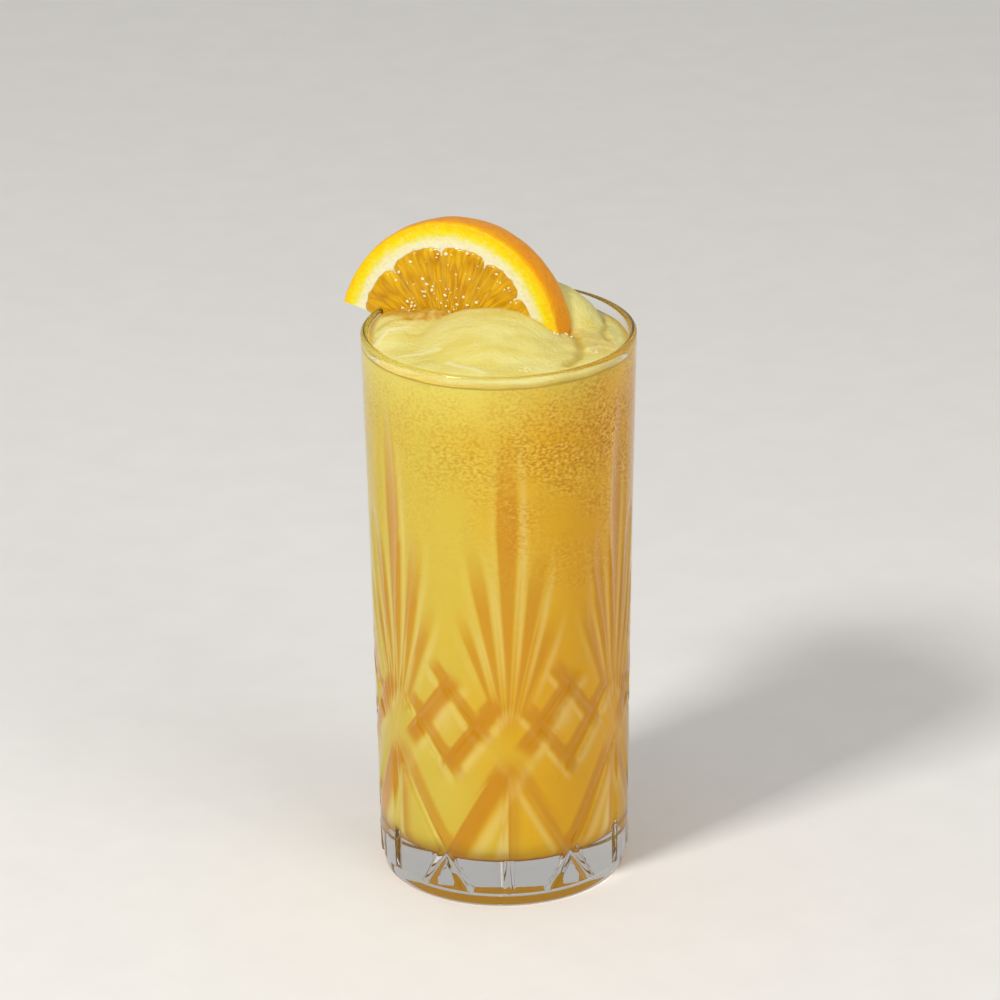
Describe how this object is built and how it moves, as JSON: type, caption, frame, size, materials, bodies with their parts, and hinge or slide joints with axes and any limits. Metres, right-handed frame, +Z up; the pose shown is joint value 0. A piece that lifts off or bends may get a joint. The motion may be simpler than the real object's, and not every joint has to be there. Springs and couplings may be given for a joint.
{
  "type": "citrus smoothie in a cut highball glass",
  "caption": "Tall cut-glass tumbler filled with a thick yellow-orange citrus smoothie, its top heaped, with half a wheel of orange hung on the rim.",
  "frame": {"origin": "centre of the flat underside of the glass", "axes": "+Z up along the glass's axis; -Y is the front of the glass, the side with the open heap of smoothie before the slice; the slice hangs over the rim on the -X side"},
  "size_m": [0.0772, 0.0722, 0.1775],
  "materials": {
    "crystal": "clear pressed crystal glass with cut grooves, polished",
    "smoothie": "thick opaque blended fruit, moist",
    "orange": "wet orange flesh with pale pith and a dimpled peel"
  },
  "bodies": {
    "root": {"glass": "crystal", "smoothie": "smoothie", "orange_slice": "orange"}
  },
  "joints": []
}
